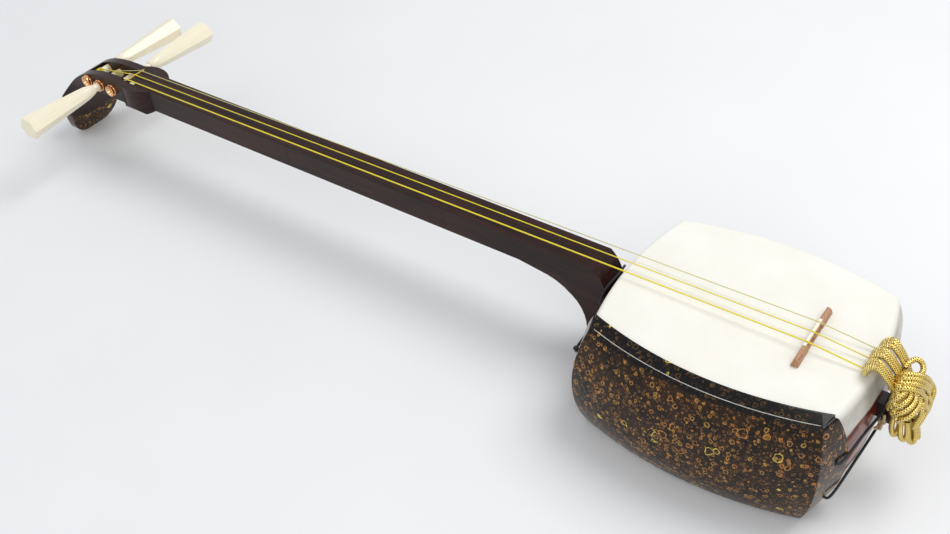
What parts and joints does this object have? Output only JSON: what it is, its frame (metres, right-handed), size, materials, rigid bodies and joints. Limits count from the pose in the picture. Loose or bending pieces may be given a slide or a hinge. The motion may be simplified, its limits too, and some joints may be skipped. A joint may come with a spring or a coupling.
{
  "type": "shamisen",
  "caption": "Long-necked plucked lute with a square skin-covered body, turning pegs, a shifting bridge and an adjustable buzz plate; lies on its back.",
  "frame": {"origin": "centre of the back skin's outer face, on the plane the instrument lies on", "axes": "+X towards the tail knot, +Y away from the arm-rest side, +Z out of the front skin"},
  "size_m": [1.055, 0.26, 0.1275],
  "materials": {
    "rosewood": "dense dark rosewood, satin, fine straight grain",
    "quince_wood": "red-brown quince wood, glossy",
    "flecked_lacquer": "black gloss lacquer with gold and orange flecks",
    "gold_metal": "polished gold",
    "copper_metal": "polished copper",
    "ivory": "satin ivory with faint grain",
    "skin": "stretched pale hide, fine pebble",
    "silk_string": "waxed yellow silk, twisted",
    "bamboo": "speckled smoked bamboo",
    "gold_braid": "metallic gold braided cord",
    "black_cord": "black elastic cord",
    "cotton": "beige cotton",
    "felt": "thin red felt"
  },
  "bodies": {
    "root": {"tenjin": "rosewood", "kami_zao": "rosewood", "naka_zao": "rosewood", "shimo_zao": "rosewood", "tenjin_cap": "flecked_lacquer", "dokake": "flecked_lacquer", "kamigoma": "gold_metal", "upper_joint_sleeve": "gold_metal", "lower_joint_sleeve": "gold_metal", "sawari_bush": "copper_metal", "zagane_1": "copper_metal", "zagane_2": "copper_metal", "zagane_3": "copper_metal", "board_near": "quince_wood", "board_far": "quince_wood", "board_head": "quince_wood", "board_tail": "quince_wood", "front_skin": "skin", "back_skin": "skin", "dokake_lining": "felt", "dokake_cord_head": "black_cord", "dokake_cord_tail": "black_cord", "cord_knots": "black_cord", "string_1": "silk_string", "string_2": "silk_string", "string_3": "silk_string", "neo_loops": "gold_braid", "neo_knot": "gold_braid", "neo_tie": "cotton"},
    "peg_first": {"peg_1": "ivory", "winding_1": "silk_string"},
    "peg_second": {"peg_2": "ivory", "winding_2": "silk_string"},
    "peg_third": {"peg_3": "ivory", "winding_3": "silk_string"},
    "koma": {"koma_base": "bamboo", "koma_saddle": "ivory"},
    "sawari": {"sawari_plate": "ivory"},
    "sawari_knob": {"sawari_screw": "gold_metal"}
  },
  "joints": [
    {"name": "peg_first_turn", "type": "hinge", "parent": "root", "child": "peg_first", "pos_m": [-0.7872, 0, 0.0914], "axis": [0, 1, 0], "continuous": true},
    {"name": "peg_second_turn", "type": "hinge", "parent": "root", "child": "peg_second", "pos_m": [-0.8292, 0, 0.0914], "axis": [0, 1, 0], "continuous": true},
    {"name": "peg_third_turn", "type": "hinge", "parent": "root", "child": "peg_third", "pos_m": [-0.8082, 0, 0.0914], "axis": [0, -1, 0], "continuous": true},
    {"name": "koma_shift", "type": "slide", "parent": "root", "child": "koma", "axis": [1, 0, 0], "range_m": [-0.012, 0.016], "deforming": ["string_1", "string_2", "string_3"]},
    {"name": "sawari_lift", "type": "slide", "parent": "root", "child": "sawari", "axis": [0, 0, 1], "range_m": [-0.00105, 0]},
    {"name": "sawari_turn", "type": "hinge", "parent": "sawari", "child": "sawari_knob", "pos_m": [-0.7544, -0.0132, 0.08], "axis": [0, 0, 1], "range_deg": [-545, 0]}
  ],
  "couplings": [
    {"joint": "sawari_turn", "follows": "sawari_lift", "rad_per_m": 8976}
  ]
}
